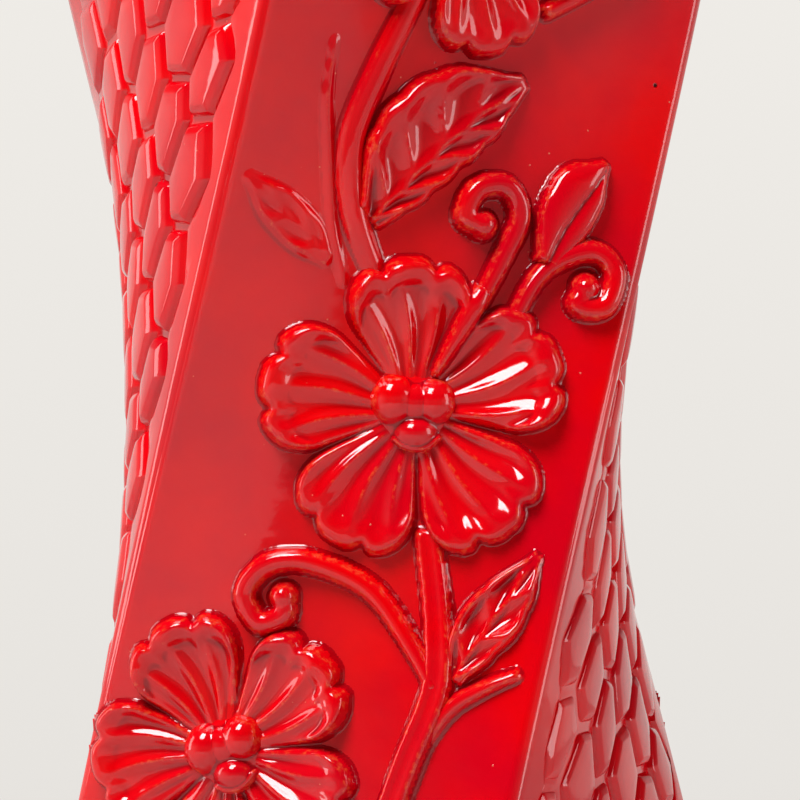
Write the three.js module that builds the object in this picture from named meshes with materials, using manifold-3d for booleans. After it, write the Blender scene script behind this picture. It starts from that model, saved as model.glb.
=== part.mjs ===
// A tall square vase of red-glazed stoneware, turned about its own axis like a screw and drawn
// in at the waist. Four pressed slabs are luted together at mitred corners, on a floor and a
// foot ring, under a rim band. Two opposite walls are smooth and carry a flowering vine in
// relief, each petal cluster, boss, leaf, bud, stem and tendril a sprig of its own. The other
// two walls are covered with raised plates. Millimetres, +Z up, the middle of the foot at zero.
import * as THREE from "three";
import { mergeVertices } from "three/addons/utils/BufferGeometryUtils.js";
import Module from "manifold-3d";

const wasm = await Module();
wasm.setup();

// Driving dimensions: the body.
const HEIGHT = 336;
const WAIST_HEIGHT = 168;
const FOOT_SIDE = 112;
const WAIST_SIDE = 88.8;
const MOUTH_SIDE = 112;
const TURN_DEGREES = 73.2;
const RIGHT_SWELL = 4.8;
const LEFT_SWELL = 9.4;
const WALL = 7;
const CORNER_CUT = 2.2;
const FOOT_BAND = 8;
const FOOT_WALL = 10;
const RIM_BAND = 8;
const RIM_WALL = 8;
const LIP_ROUNDING = 2;
const FLOOR = 8;
const INNER_CUT = 1;
const FOOT_EASE = 1;
const SEAM = 0.3;

// Driving dimensions: the plates of the two plated walls.
const PLATE_WIDTH = 12.1;
const PLATE_HEIGHT = 21;
const PLATE_RISE = 2.5;
const PLATE_POINT = 2.3;
const PLATE_WANDER = 1.6;
const GROOVE_FLANK = 1.3;
const PLATE_MARGIN = 6.5;
const PLATE_END_BAND = 5;

// Driving dimensions: the vine. It is drawn for a wall 88.8 wide at the waist, with 168 above
// the waist and 168 below it, and stretches with the wall.
const DRAWN_SIDE = 88.8;
const DRAWN_REACH = 168;
const SPRIG_LIFT = 0.35;
const PETALS = 5;
const PETAL_NOTCH = 0.68;
const PETAL_EDGE = 2.4;
const PETAL_RIM = 4;
const PETAL_DISH = 1.7;
const RIM_CREST_SHARE = 0.86;
const DISH_SHARE = 0.5;
const BOSS_RADIUS = 8;
const BOSS_HEIGHT = 5.6;
const BOSS_EDGE = 1;
const BOSS_SHOULDER = 5.2;
const SHOULDER_SHARE = 0.65;
const TENDRIL_WIDTH = 4.9;
const TENDRIL_ROOT_WIDTH = 3.5;
const TENDRIL_BALL_WIDTH = 5.5;
const TENDRIL_HEIGHT = 4;
const STEM_HEIGHT = 3;
const SIDE_STEM_HEIGHT = 2.4;
const THIN_STEM_HEIGHT = 1.6;
const LEAF_HEIGHT = 3;
const FAINT_LEAF_HEIGHT = 1.4;
const BUD_HEIGHT = 4.2;
const SPRIG_SHOULDER_WIDTH = 0.8;
const SPRIG_SHOULDER_HEIGHT = 0.62;
const CUTTER_HEIGHT = 9;
const CUTTER_DEPTH = 1;

// How finely the surfaces are divided.
const WALL_LEVEL_STEP = 9;
const WALL_ACROSS_STEP = 11;
const INNER_LEVEL_STEP = 10;
const INNER_COLUMNS = 6;
const SPOTS_PER_PETAL = 6;
const SPOTS_ROUND_BOSS = 12;
const TENDRIL_STEPS = 14;
const STEM_STEPS = 9;
const LEAF_STEPS = 7;
const BUD_STEPS = 5;
const WELD = 1e-4;

const GLAZE = new THREE.Color(0.66, 0.005, 0.01);
const BARE_CLAY = new THREE.Color(0.62, 0.56, 0.48);

// The body's law: how far a level is turned, and how wide it is there.
const HALF_TURN = THREE.MathUtils.degToRad(TURN_DEGREES / 2);
const reach = (z) => (z < WAIST_HEIGHT ? WAIST_HEIGHT : HEIGHT - WAIST_HEIGHT);
const flare = (z) => ((z < WAIST_HEIGHT ? FOOT_SIDE : MOUTH_SIDE) - WAIST_SIDE) / 2;
const lean = (z) => HALF_TURN * Math.sin((Math.PI / 2) * ((z - WAIST_HEIGHT) / reach(z)));
const turn = (z) => HALF_TURN + lean(z);
const halfSide = (z) => WAIST_SIDE / 2 + flare(z) * (Math.tan(lean(z)) / Math.tan(HALF_TURN)) ** 2;

// How far a straight line drawn up a wall drifts sideways off the wall's centre line by the
// level z: the integral of halfSide over the turn, from the waist.
function drift(z) {
  const share = flare(z) / Math.tan(HALF_TURN) ** 2;
  return (WAIST_SIDE / 2) * lean(z) + share * (Math.tan(lean(z)) - lean(z));
}

// The smooth walls are straight across. The plated ones swell between their edges, most at the
// waist and not at all at the foot and the mouth.
const SWELLS = [0, RIGHT_SWELL, 0, LEFT_SWELL];

function swell(wall, u, z, h) {
  const fade = (1 - ((z - WAIST_HEIGHT) / reach(z)) ** 2) ** 2;
  return SWELLS[wall] * fade * (1 - (u / (halfSide(z) + h)) ** 2);
}

// A point on wall 0 (front) to 3: u across from its centre line, at level z, h out of its face.
function wallPoint(wall, u, z, h) {
  const angle = turn(z) + (wall * Math.PI) / 2;
  const out = halfSide(z) + h + swell(wall, u, z, h);
  const x = u * Math.cos(angle) + out * Math.sin(angle);
  const y = u * Math.sin(angle) - out * Math.cos(angle);
  return new THREE.Vector3(x, y, z);
}

// A surface gathered triangle by triangle.
class Skin {
  constructor() {
    this.corners = [];
  }

  triangle(a, b, c) {
    this.corners.push(a, b, c);
  }

  quad(a, b, c, d) {
    this.triangle(a, b, c);
    this.triangle(a, c, d);
  }

  fan(loop) {
    for (let i = 1; i < loop.length - 1; i++) this.triangle(loop[0], loop[i], loop[i + 1]);
  }

  // The band between two loops of the same number of points.
  band(low, high, closed = true) {
    const last = closed ? low.length : low.length - 1;
    for (let i = 0; i < last; i++) {
      const next = (i + 1) % low.length;
      this.quad(low[i], low[next], high[next], high[i]);
    }
  }

  // The strip between two lines whose numbers of points differ, stepped by their shares of length.
  strip(left, right) {
    let i = 0;
    let j = 0;
    while (i < left.length - 1 || j < right.length - 1) {
      const nextLeft = (i + 1) / (left.length - 1);
      const nextRight = (j + 1) / (right.length - 1);
      if (j === right.length - 1 || (i < left.length - 1 && nextLeft <= nextRight)) {
        this.triangle(left[i], right[j], left[i + 1]);
        i += 1;
      } else {
        this.triangle(left[i], right[j], right[j + 1]);
        j += 1;
      }
    }
  }

  geometry() {
    const loose = new THREE.BufferGeometry().setFromPoints(this.corners);
    return mergeVertices(loose, WELD);
  }
}

// A whole number of steps of about the given size that fill a length.
const stepsIn = (length, step) => Math.max(1, Math.round(length / step));
const steps = (count) => Array.from({ length: count + 1 }, (_, i) => i / count);
const blend = THREE.MathUtils.lerp;

// A repeatable number from 0 to 1 for a place in a grid.
function scatter(column, row, salt) {
  const wave = Math.sin(column * 127.1 + row * 311.7 + salt * 74.7) * 43758.5453;
  return wave - Math.floor(wave);
}

// ---- The four walls ----

const WALL_BOTTOM = FOOT_BAND + SEAM;
const WALL_TOP = HEIGHT - RIM_BAND - SEAM;
const MITRE_SETBACK = SEAM / Math.SQRT2;
const edgeOf = (z) => halfSide(z) - CORNER_CUT;
const mitreOf = (z, h) => halfSide(z) + h - MITRE_SETBACK;

// The outer face of a smooth wall, as lines of points from its left edge to its right one.
function smoothFace(wall, skin) {
  const levels = steps(stepsIn(WALL_TOP - WALL_BOTTOM, WALL_LEVEL_STEP));
  const across = steps(stepsIn(WAIST_SIDE, WALL_ACROSS_STEP));
  const rows = levels.map((level) => {
    const z = blend(WALL_BOTTOM, WALL_TOP, level);
    return across.map((share) => wallPoint(wall, blend(-edgeOf(z), edgeOf(z), share), z, 0));
  });
  for (let i = 0; i < rows.length - 1; i++) skin.band(rows[i], rows[i + 1], false);
  return {
    left: rows.map((row) => row[0]),
    right: rows.map((row) => row[row.length - 1]),
    bottom: rows[0],
    top: rows[rows.length - 1],
  };
}

// The corners where the grooves between plates meet. Columns of six-sided plates stand side by
// side, each column half a plate higher than the last, and every corner wanders a little.
function grooveCorners() {
  const columns = stepsIn(WAIST_SIDE - 2 * (CORNER_CUT + PLATE_MARGIN), PLATE_WIDTH);
  const low = WALL_BOTTOM + PLATE_END_BAND;
  const high = WALL_TOP - PLATE_END_BAND;
  const halves = 2 * stepsIn(high - low, PLATE_HEIGHT);
  const corner = (i, k) => {
    const point = (i + k) % 2 === 0 ? 1 : -1;
    const inside = k > 0 && k < halves ? 1 : 0;
    const rise = inside * (scatter(i, k, 1) - 0.5) * 2 * PLATE_WANDER;
    const z = blend(low, high, k / halves) + rise;
    const field = edgeOf(z) - PLATE_MARGIN;
    const sway = (scatter(i, k, 2) - 0.5) * 2 * PLATE_WANDER;
    return { u: blend(-field, field, i / columns) + point * PLATE_POINT * inside + sway, z };
  };
  return { columns, halves, corner };
}

// The corners around one plate, in order, from half-step k to half-step k + tall.
function plateCorners(corner, i, k, tall) {
  const up = Array.from({ length: tall + 1 }, (_, n) => corner(i + 1, k + n));
  const down = Array.from({ length: tall + 1 }, (_, n) => corner(i, k + tall - n));
  return [...up, ...down];
}

// A line of points, or a closed loop, moved sideways in the plane of the wall.
function inset(loop, distance) {
  return loop.map((here, n) => {
    const before = loop[(n + loop.length - 1) % loop.length];
    const after = loop[(n + 1) % loop.length];
    const into = new THREE.Vector2(here.u - before.u, here.z - before.z).normalize();
    const away = new THREE.Vector2(after.u - here.u, after.z - here.z).normalize();
    const half = new THREE.Vector2(-into.y - away.y, into.x + away.x).normalize();
    const square = Math.max(0.5, half.dot(new THREE.Vector2(-into.y, into.x)));
    return { u: here.u + (half.x * distance) / square, z: here.z + (half.y * distance) / square };
  });
}

// The outer face of a plated wall: raised plates, sloping flanks, and a smooth border.
function platedFace(wall, skin) {
  const { columns, halves, corner } = grooveCorners();
  const at = (spot, h) => wallPoint(wall, spot.u, spot.z, h);
  const plate = (i, k, tall) => {
    const foot = plateCorners(corner, i, k, tall);
    const crown = inset(foot, GROOVE_FLANK);
    const footLoop = foot.map((spot) => at(spot, -PLATE_RISE));
    const crownLoop = crown.map((spot) => at(spot, 0));
    skin.band(footLoop, crownLoop);
    skin.fan(crownLoop);
  };
  for (let i = 0; i < columns; i++) {
    const shifted = i % 2;
    if (shifted) plate(i, 0, 1);
    for (let k = shifted; k + 2 <= halves; k += 2) plate(i, k, 2);
    if (shifted) plate(i, halves - 1, 1);
  }
  const along = (count) => Array.from({ length: count }, (_, n) => n);
  const rim = [
    ...along(columns).map((i) => ({ ...corner(i, 0), side: "bottom" })),
    ...along(halves).map((k) => ({ ...corner(columns, k), side: "right" })),
    ...along(columns).map((i) => ({ ...corner(columns - i, halves), side: "top" })),
    ...along(halves).map((k) => ({ ...corner(0, halves - k), side: "left" })),
  ];
  const border = inset(rim, -GROOVE_FLANK);
  const edge = rim.map((spot, n) => {
    const firstOfSide = spot.side !== rim[(n + rim.length - 1) % rim.length].side;
    if (spot.side === "bottom") {
      return { u: firstOfSide ? -edgeOf(WALL_BOTTOM) : spot.u, z: WALL_BOTTOM };
    }
    if (spot.side === "top") {
      return { u: firstOfSide ? edgeOf(WALL_TOP) : spot.u, z: WALL_TOP };
    }
    const z = firstOfSide ? (spot.side === "right" ? WALL_BOTTOM : WALL_TOP) : spot.z;
    return { u: spot.side === "right" ? edgeOf(z) : -edgeOf(z), z };
  });
  const rimLoop = rim.map((spot) => at(spot, -PLATE_RISE));
  const borderLoop = border.map((spot) => at(spot, 0));
  const edgeLoop = edge.map((spot) => at(spot, 0));
  skin.band(borderLoop, rimLoop);
  skin.band(edgeLoop, borderLoop);
  const side = (from, to) => [...edgeLoop, edgeLoop[0]].slice(from, to + 1);
  return {
    bottom: side(0, columns),
    right: side(columns, columns + halves),
    top: side(columns + halves, 2 * columns + halves).reverse(),
    left: side(2 * columns + halves, rim.length).reverse(),
  };
}

// A wall slab: the given outer face, the flat inner face, the mitred sides and the two ends.
function wallSlab(wall, outerFace) {
  const skin = new Skin();
  const outer = outerFace(wall, skin);
  const levelCount = stepsIn(WALL_TOP - WALL_BOTTOM, INNER_LEVEL_STEP);
  const levels = steps(levelCount).map((share) => blend(WALL_BOTTOM, WALL_TOP, share));
  const across = steps(INNER_COLUMNS);
  const innerRows = levels.map((z) => {
    const side = mitreOf(z, -WALL);
    return across.map((share) => wallPoint(wall, blend(-side, side, share), z, -WALL));
  });
  for (let i = 0; i < innerRows.length - 1; i++) skin.band(innerRows[i + 1], innerRows[i], false);
  const inner = {
    left: innerRows.map((row) => row[0]),
    right: innerRows.map((row) => row[row.length - 1]),
    bottom: innerRows[0],
    top: innerRows[innerRows.length - 1],
  };
  const mitre = (hand) =>
    levels.map((z) => wallPoint(wall, hand * mitreOf(z, -CORNER_CUT / 2), z, -CORNER_CUT / 2));
  const mitreLeft = mitre(-1);
  const mitreRight = mitre(1);
  skin.strip(mitreLeft, outer.left);
  skin.strip(inner.left, mitreLeft);
  skin.strip(outer.right, mitreRight);
  skin.strip(mitreRight, inner.right);
  const end = (row, left, right) => [left, ...row, right];
  skin.strip(end(outer.bottom, mitreLeft[0], mitreRight[0]), inner.bottom);
  skin.strip(inner.top, end(outer.top, mitreLeft[levelCount], mitreRight[levelCount]));
  return skin.geometry();
}

// ---- Floor, foot ring and rim band ----

// Eight points around the body, a distance in from its faces, with the corners cut.
function squareLoop(z, inward, cut) {
  const half = halfSide(z) - inward;
  const spots = [
    [-half + cut, -half],
    [half - cut, -half],
    [half, -half + cut],
    [half, half - cut],
    [half - cut, half],
    [-half + cut, half],
    [-half, half - cut],
    [-half, -half + cut],
  ];
  const axis = new THREE.Vector3(0, 0, 1);
  return spots.map(([x, y]) => new THREE.Vector3(x, y, z).applyAxisAngle(axis, turn(z)));
}

// A square ring from its section, a list of [inward, level, corner cut] that closes on itself.
function squareRing(section) {
  const skin = new Skin();
  const loops = section.map(([inward, z, cut]) => squareLoop(z, inward, cut));
  loops.forEach((loop, n) => skin.band(loop, loops[(n + 1) % loops.length]));
  return skin.geometry();
}

const footRing = () =>
  squareRing([
    [FOOT_EASE, 0, CORNER_CUT],
    [0, FOOT_EASE, CORNER_CUT],
    [0, FOOT_BAND, CORNER_CUT],
    [FOOT_WALL, FOOT_BAND, INNER_CUT],
    [FOOT_WALL, 0, INNER_CUT],
  ]);

const rimBand = () =>
  squareRing([
    [0, HEIGHT - RIM_BAND, CORNER_CUT],
    [0, HEIGHT - LIP_ROUNDING, CORNER_CUT],
    [LIP_ROUNDING, HEIGHT, CORNER_CUT],
    [RIM_WALL - LIP_ROUNDING, HEIGHT, INNER_CUT],
    [RIM_WALL, HEIGHT - LIP_ROUNDING, INNER_CUT],
    [RIM_WALL, HEIGHT - RIM_BAND, INNER_CUT],
  ]);

function floorSlab() {
  const skin = new Skin();
  const low = squareLoop(WALL_BOTTOM, WALL + SEAM, INNER_CUT);
  const high = squareLoop(WALL_BOTTOM + FLOOR, WALL + SEAM, INNER_CUT);
  skin.band(low, high);
  skin.fan([...low].reverse());
  skin.fan(high);
  return skin.geometry();
}

// ---- The vine's sprigs, all on wall 0 ----

// A place in the drawing, u across from the wall's centre line and y up from the waist,
// becomes a place on the wall laid flat, where a sprig keeps its own shape.
const levelOf = (y) => WAIST_HEIGHT + (y * reach(WAIST_HEIGHT + y)) / DRAWN_REACH;
const ACROSS = WAIST_SIDE / DRAWN_SIDE;

function laidFlat(u, y) {
  const z = levelOf(y);
  return new THREE.Vector2(u * ACROSS + drift(z), z);
}

const onWall = (flat, h) => wallPoint(0, flat.x - drift(flat.y), flat.y, h);

// A sprig is asked for as it is, or as the cutter that makes room for it in a later sprig:
// the same outline grown by a seam, from under the wall's face to well above the sprig.
const ASIS = { grow: 0, base: () => SPRIG_LIFT, height: (h) => h };
const CUTTER = { grow: SEAM, base: () => -CUTTER_DEPTH, height: () => CUTTER_HEIGHT };

// A cluster of petals around a centre: a scalloped disc with a raised rim and a hollow middle.
function petals({ at, radius, spin }) {
  const around = SPOTS_PER_PETAL * PETALS;
  return (kind) => {
    const centre = laidFlat(...at);
    const ring = (share, h) =>
      Array.from({ length: around }, (_, n) => {
        const angle = THREE.MathUtils.degToRad(spin) + (n / around) * 2 * Math.PI;
        const offTip = Math.abs((((n * PETALS) / around + 0.5) % 1) - 0.5) * 2;
        const edge = radius * (1 - (1 - PETAL_NOTCH) * offTip ** 4) + kind.grow;
        const x = centre.x + Math.cos(angle) * edge * share * ACROSS;
        const y = levelOf(at[1] + Math.sin(angle) * edge * share);
        return onWall(new THREE.Vector2(x, y), h);
      });
    const middle = (h) => onWall(centre, h);
    return roundSkin(
      [ring(1, kind.base()), ring(DISH_SHARE, kind.base()), middle(kind.base())],
      [
        ring(1, kind.height(PETAL_EDGE)),
        ring(RIM_CREST_SHARE, kind.height(PETAL_RIM)),
        ring(DISH_SHARE, kind.height(PETAL_DISH)),
        middle(kind.height(PETAL_DISH)),
      ],
    );
  };
}

// A closed skin from two stacks of rings that each end in a middle point, the under one and
// the upper one, joined at their outer rings.
function roundSkin(under, upper) {
  const skin = new Skin();
  const close = (rings, facingUp) => {
    const hub = rings[rings.length - 1];
    const loops = rings.slice(0, -1);
    for (let i = 0; i < loops.length - 1; i++) {
      if (facingUp) skin.band(loops[i], loops[i + 1]);
      else skin.band(loops[i + 1], loops[i]);
    }
    const last = loops[loops.length - 1];
    last.forEach((spot, n) => {
      const next = last[(n + 1) % last.length];
      if (facingUp) skin.triangle(spot, next, hub);
      else skin.triangle(next, spot, hub);
    });
  };
  close(under, false);
  close(upper, true);
  skin.band(under[0], upper[0]);
  return skin.geometry();
}

// The round boss on the middle of a flower, resting in the petals' dish.
function boss({ at }) {
  return () => {
    const centre = laidFlat(...at);
    const ring = (radius, h) =>
      Array.from({ length: SPOTS_ROUND_BOSS }, (_, n) => {
        const angle = (n / SPOTS_ROUND_BOSS) * 2 * Math.PI;
        const x = centre.x + Math.cos(angle) * radius * ACROSS;
        const y = centre.y + Math.sin(angle) * radius;
        return onWall(new THREE.Vector2(x, y), h);
      });
    const rest = PETAL_DISH + SPRIG_LIFT + SEAM / 2;
    return roundSkin(
      [ring(BOSS_RADIUS, rest), onWall(centre, rest)],
      [
        ring(BOSS_RADIUS, rest + BOSS_EDGE),
        ring(BOSS_RADIUS * SHOULDER_SHARE, BOSS_SHOULDER),
        onWall(centre, BOSS_HEIGHT),
      ],
    );
  };
}

// A long sprig along a line of places, each with its own half-width on the left and the right
// of the direction of travel: a stem, a tendril, a leaf with its midrib, or a bud.
function along({ through, widths, height, count }) {
  return (kind) => {
    const spots = through.map(([u, y]) => laidFlat(u, y));
    const line = new THREE.CatmullRomCurve3(spots.map(({ x, y }) => new THREE.Vector3(x, y, 0)));
    const width = (share, hand) => {
      const place = share * (widths.length - 1);
      const n = Math.min(widths.length - 2, Math.floor(place));
      return blend([widths[n]].flat().at(hand), [widths[n + 1]].flat().at(hand), place - n);
    };
    const shoulder = height * SPRIG_SHOULDER_HEIGHT;
    const stations = steps(count).map((share) => {
      const spot = line.getPoint(share);
      const way = line.getTangent(share);
      const square = new THREE.Vector2(-way.y, way.x);
      const end = share === 0 ? -kind.grow : share === 1 ? kind.grow : 0;
      const centre = new THREE.Vector2(spot.x + way.x * end, spot.y + way.y * end);
      const left = width(share, 0) + kind.grow;
      const right = width(share, -1) + kind.grow;
      const beside = (distance) => centre.clone().addScaledVector(square, distance);
      return [
        onWall(beside(left), kind.base()),
        onWall(centre, kind.base()),
        onWall(beside(-right), kind.base()),
        onWall(beside(-right * SPRIG_SHOULDER_WIDTH), kind.height(shoulder)),
        onWall(centre, kind.height(height)),
        onWall(beside(left * SPRIG_SHOULDER_WIDTH), kind.height(shoulder)),
      ];
    });
    const skin = new Skin();
    for (let i = 0; i < stations.length - 1; i++) skin.band(stations[i + 1], stations[i]);
    skin.fan(stations[0]);
    skin.fan([...stations[count]].reverse());
    return skin.geometry();
  };
}

const TENDRIL_WIDTHS = [TENDRIL_ROOT_WIDTH, TENDRIL_WIDTH, TENDRIL_WIDTH, TENDRIL_BALL_WIDTH];

const tendril = (through) =>
  along({
    through,
    widths: TENDRIL_WIDTHS.map((width) => width / 2),
    height: TENDRIL_HEIGHT,
    count: TENDRIL_STEPS,
  });

const stem = (through, widths, height = STEM_HEIGHT) =>
  along({ through, widths, height, count: STEM_STEPS });

const leaf = (through, widths, height = LEAF_HEIGHT) =>
  along({ through, widths, height, count: LEAF_STEPS });

const bud = (through, widths) =>
  along({ through, widths, height: BUD_HEIGHT, count: BUD_STEPS });

const footFlower = { at: [16, -130], radius: 26, spin: 60 };
const lowFlower = { at: [-16, -65], radius: 30, spin: 42 };
const waistFlower = { at: [5, 4], radius: 31.5, spin: 22 };
const highFlower = { at: [-7, 104], radius: 29, spin: 59 };

// In the order in which they were laid on: each is trimmed to fit round those before it.
const vine = {
  foot_flower_petals: petals(footFlower),
  waist_flower_petals: petals(waistFlower),
  high_flower_petals: petals(highFlower),
  low_stem: stem(
    [
      [14, -20],
      [22, -40],
      [25, -52],
      [23.5, -66],
      [22, -80],
      [18, -94],
      [15, -108],
    ],
    [2.4, 2.8, 2.8, 2.8, 2.6],
  ),
  low_tendril: tendril([
    [25, -52],
    [18.3, -44],
    [6, -32],
    [-8, -26.4],
    [-16.5, -27],
    [-19.7, -32.4],
    [-15.5, -38.4],
    [-10.5, -37],
    [-11.5, -33.4],
  ]),
  low_flower_petals: petals(lowFlower),
  side_stem: stem(
    [
      [24, -66],
      [28.5, -56],
      [34.5, -51.5],
      [41, -48.5],
    ],
    [2, 1.8, 1.2],
    SIDE_STEM_HEIGHT,
  ),
  main_stem: stem(
    [
      [-9, 30],
      [-18, 44],
      [-22.5, 58],
      [-21, 72],
      [-17, 88],
    ],
    [2.6, 3, 3, 2.6],
  ),
  thin_stem: stem(
    [
      [-15.5, 29],
      [-21, 40],
      [-26, 54],
      [-30, 66],
      [-32, 78],
    ],
    [1.4, 1.6, 1.2],
    THIN_STEM_HEIGHT,
  ),
  waist_tendril: tendril([
    [12, 23],
    [15, 34],
    [16.8, 43],
    [12.5, 49],
    [6.5, 48.5],
    [5.3, 43],
    [9.5, 41.2],
  ]),
  right_tendril: tendril([
    [20, 21],
    [24.3, 32],
    [33, 36],
    [39, 32],
    [38.5, 25],
    [33, 25],
    [33.8, 28.6],
  ]),
  foot_tendril: tendril([
    [18, -92],
    [8, -97],
    [-4, -98.5],
    [-14, -103],
    [-18, -112],
    [-12, -117],
    [-8.5, -111],
  ]),
  high_tendril: tendril([
    [12, 84],
    [22, 90],
    [31, 98],
    [36, 107],
    [33, 114.5],
    [27, 113],
    [28, 107.5],
  ]),
  big_leaf: leaf(
    [
      [-14, 42],
      [-9, 49],
      [-3, 57],
      [4, 64],
      [12, 70],
    ],
    [
      [3, 2],
      [13, 5],
      [15, 6],
      [12, 6],
      [0.6, 0.6],
    ],
  ),
  faint_leaf: leaf(
    [
      [-20, 34],
      [-26, 39],
      [-34, 45],
      [-42, 51],
    ],
    [1, 4.5, 4.5, 0.5],
    FAINT_LEAF_HEIGHT,
  ),
  lobed_leaf: leaf(
    [
      [28, -50],
      [31, -42],
      [34.5, -34],
      [38, -25],
    ],
    [1.5, [7, 5], [6, 5.5], 0.6],
  ),
  foot_left_leaf: leaf(
    [
      [-22, -104],
      [-28, -112],
      [-34, -119],
      [-42, -123],
    ],
    [1.5, 8, 8, 0.6],
  ),
  foot_low_leaf: leaf(
    [
      [-9, -128],
      [-17, -134],
      [-25, -139],
      [-36, -142],
    ],
    [1.5, 7.5, 8, 0.6],
  ),
  mouth_left_leaf: leaf(
    [
      [-12, 134],
      [-20, 140],
      [-28, 144],
      [-38, 145],
    ],
    [1.5, 7, 7, 0.6],
  ),
  mouth_right_leaf: leaf(
    [
      [6, 134],
      [15, 139],
      [24, 141],
      [35, 139],
    ],
    [1.5, 7, 7, 0.6],
  ),
  waist_bud: bud(
    [
      [24.6, 33],
      [26.8, 42],
      [29.5, 49],
      [33, 54],
    ],
    [2.5, [7, 5.5], [7, 5], 0.6],
  ),
  mouth_bud: bud(
    [
      [-4, 134],
      [-4, 140],
      [-3, 147],
      [-2, 154],
    ],
    [1.8, 4.5, 4, 0.6],
  ),
  foot_flower_boss: boss(footFlower),
  low_flower_boss: boss(lowFlower),
  waist_flower_boss: boss(waistFlower),
  high_flower_boss: boss(highFlower),
};

// ---- Joining and cutting ----

function solidOf(geometry) {
  const merged = mergeVertices(geometry, WELD);
  const vertProperties = merged.attributes.position.array;
  const triVerts = new Uint32Array(merged.index.array);
  return new wasm.Manifold(new wasm.Mesh({ numProp: 3, vertProperties, triVerts }));
}

function geometryOf(solid) {
  const { vertProperties, triVerts } = solid.getMesh();
  const geometry = new THREE.BufferGeometry();
  geometry.setAttribute("position", new THREE.BufferAttribute(vertProperties, 3));
  geometry.setIndex(new THREE.BufferAttribute(triVerts, 1));
  return geometry;
}

// Every sprig of one wall's vine, by name, trimmed to its neighbours. A boss lies on top of its
// petals, so nothing trims it and it trims nothing.
function trimmedVine() {
  const laid = [];
  const trimmed = {};
  for (const [name, sprig] of Object.entries(vine)) {
    const geometry = sprig(ASIS);
    geometry.computeBoundingBox();
    const box = geometry.boundingBox.clone().expandByScalar(2 * SEAM);
    if (name.endsWith("_boss")) {
      trimmed[name] = geometry;
      continue;
    }
    const near = laid.filter((earlier) => earlier.box.intersectsBox(box));
    const room = near.map((earlier) => earlier.cutter);
    const whole = solidOf(geometry);
    trimmed[name] = geometryOf(room.reduce((left, cutter) => left.subtract(cutter), whole));
    laid.push({ box, cutter: solidOf(sprig(CUTTER)) });
  }
  return trimmed;
}

// ---- The assembly ----

function piece(name, geometry, color, roughness) {
  const material = new THREE.MeshStandardMaterial({ color, roughness, metalness: 0 });
  const mesh = new THREE.Mesh(geometry, material);
  mesh.name = name;
  return mesh;
}

const GLAZED = 0.08;
const UNGLAZED = 0.8;

const vase = new THREE.Group();
vase.add(piece("foot_ring", footRing(), BARE_CLAY, UNGLAZED));
vase.add(piece("floor_slab", floorSlab(), GLAZE, GLAZED));
vase.add(piece("rim_band", rimBand(), GLAZE, GLAZED));
["front_wall", "right_wall", "back_wall", "left_wall"].forEach((name, wall) => {
  vase.add(piece(name, wallSlab(wall, wall % 2 === 0 ? smoothFace : platedFace), GLAZE, GLAZED));
});

const sprigs = trimmedVine();
for (const [side, angle] of [
  ["front", 0],
  ["back", Math.PI],
]) {
  const group = new THREE.Group();
  group.rotation.z = angle;
  for (const [name, geometry] of Object.entries(sprigs)) {
    group.add(piece(`${side}_${name}`, geometry, GLAZE, GLAZED));
  }
  vase.add(group);
}

export default vase;
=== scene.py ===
"""A tall square vase of red-glazed stoneware, turned like a screw and drawn in at the waist.

Two opposite walls carry a flowering vine in relief, the other two are covered with raised plates.
Every piece is modelled laid flat, in millimetres: across, up, and out from the wall's face. Then it
is bent round the turned body, in metres.
"""
import math

import bpy
import numpy as np
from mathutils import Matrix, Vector


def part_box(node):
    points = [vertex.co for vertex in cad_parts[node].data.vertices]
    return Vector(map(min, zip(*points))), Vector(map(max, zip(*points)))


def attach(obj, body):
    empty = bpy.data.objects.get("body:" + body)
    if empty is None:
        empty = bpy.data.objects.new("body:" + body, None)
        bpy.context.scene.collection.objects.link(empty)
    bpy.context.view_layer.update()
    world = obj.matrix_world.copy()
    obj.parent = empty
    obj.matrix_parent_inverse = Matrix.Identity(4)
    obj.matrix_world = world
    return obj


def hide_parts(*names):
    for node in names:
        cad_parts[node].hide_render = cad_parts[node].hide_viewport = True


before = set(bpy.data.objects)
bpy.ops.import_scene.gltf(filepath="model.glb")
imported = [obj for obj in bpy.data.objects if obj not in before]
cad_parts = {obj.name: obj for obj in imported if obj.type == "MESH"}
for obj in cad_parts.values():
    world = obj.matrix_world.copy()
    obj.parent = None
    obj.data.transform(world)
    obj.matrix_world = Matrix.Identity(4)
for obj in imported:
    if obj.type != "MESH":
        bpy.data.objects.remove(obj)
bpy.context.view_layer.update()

MM = 0.001

# ---- The body's sizes, in millimetres ----

FOOT_LOW, FOOT_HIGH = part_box("foot_ring")
RIM_LOW, RIM_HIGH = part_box("rim_band")
HEIGHT = RIM_HIGH.z / MM
FOOT_SIDE = (FOOT_HIGH.x - FOOT_LOW.x) / MM
FOOT_BAND = FOOT_HIGH.z / MM
RIM_BOTTOM = RIM_LOW.z / MM
WAIST_HEIGHT = HEIGHT / 2
WAIST_SIDE = 88.8
MOUTH_SIDE = 112
HALF_TURN = math.radians(73.2 / 2)
SWELLS = [0, 4.8, 0, 9.4]
WALL = 7
FOOT_WALL = 10
RIM_WALL = 8
FLOOR = 8
CORNER = 2.6
SEAM = 0.02
INNER_CORNER = 1.5
WALL_BOTTOM = FOOT_BAND + SEAM
WALL_TOP = RIM_BOTTOM - SEAM
WALLS = ["front_wall", "right_wall", "back_wall", "left_wall"]

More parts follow.
